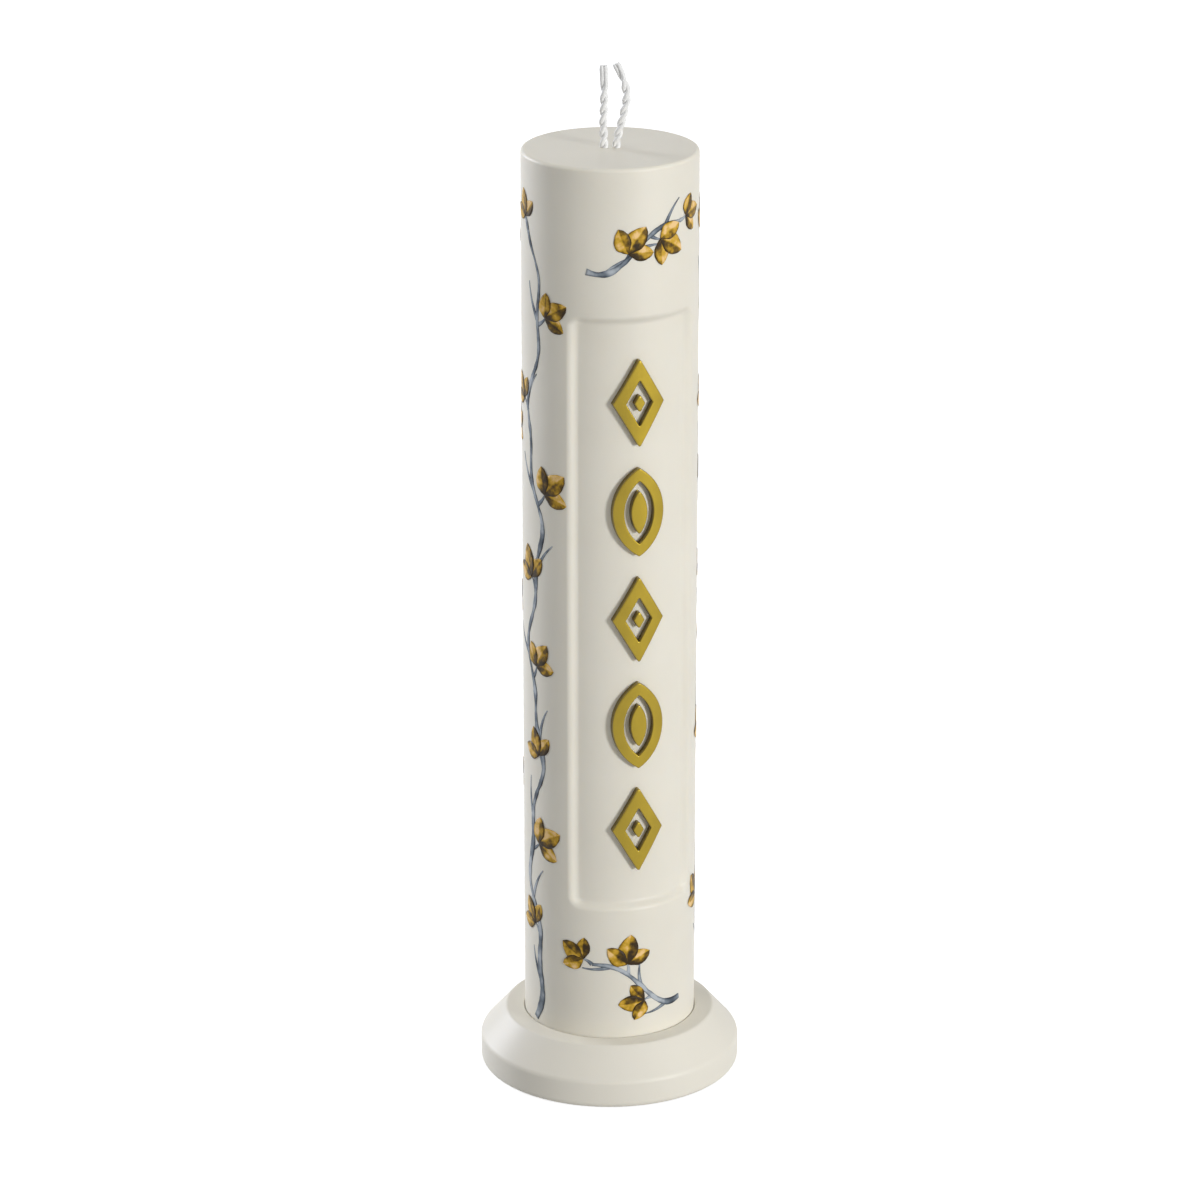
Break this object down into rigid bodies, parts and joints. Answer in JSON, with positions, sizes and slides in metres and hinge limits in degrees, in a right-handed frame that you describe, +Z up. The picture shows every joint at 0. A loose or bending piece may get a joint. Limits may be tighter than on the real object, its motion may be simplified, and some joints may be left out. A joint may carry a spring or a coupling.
{
  "type": "pillar candle in a base",
  "caption": "Tall round ivory pillar candle with paired twisted wicks, a sunk front panel with gilt relief ornaments, standing in a low sloped round base.",
  "frame": {"origin": "centre of the underside, on the felt pad's lower face", "axes": "+Z up along the candle, -Y out of the front panel"},
  "size_m": [0.073, 0.073, 0.2896],
  "materials": {
    "base_ceramic": "satin ivory, cast and smooth",
    "pad_felt": "pressed wool felt",
    "ivory_wax": "satin ivory paraffin wax",
    "wick_cotton": "white waxed cotton, two-ply twist",
    "sustainer_tinplate": "plain tinplate",
    "gilt": "satin gilt",
    "print_stem": "slate-blue print on the wax",
    "print_gold": "gold print on the wax"
  },
  "bodies": {
    "base": {"base": "base_ceramic", "felt_pad": "pad_felt"},
    "candle": {"candle_body": "ivory_wax", "wick_left": "wick_cotton", "wick_right": "wick_cotton", "wick_sustainer": "sustainer_tinplate", "lozenge_frame_1": "gilt", "lozenge_stud_1": "gilt", "flame_frame_1": "gilt", "flame_stud_1": "gilt", "lozenge_frame_2": "gilt", "lozenge_stud_2": "gilt", "flame_frame_2": "gilt", "flame_stud_2": "gilt", "lozenge_frame_3": "gilt", "lozenge_stud_3": "gilt"}
  },
  "joints": [
    {"name": "candle_lift", "type": "slide", "parent": "base", "child": "candle", "axis": [0, 0, 1], "range_m": [0, 0.03]}
  ]
}
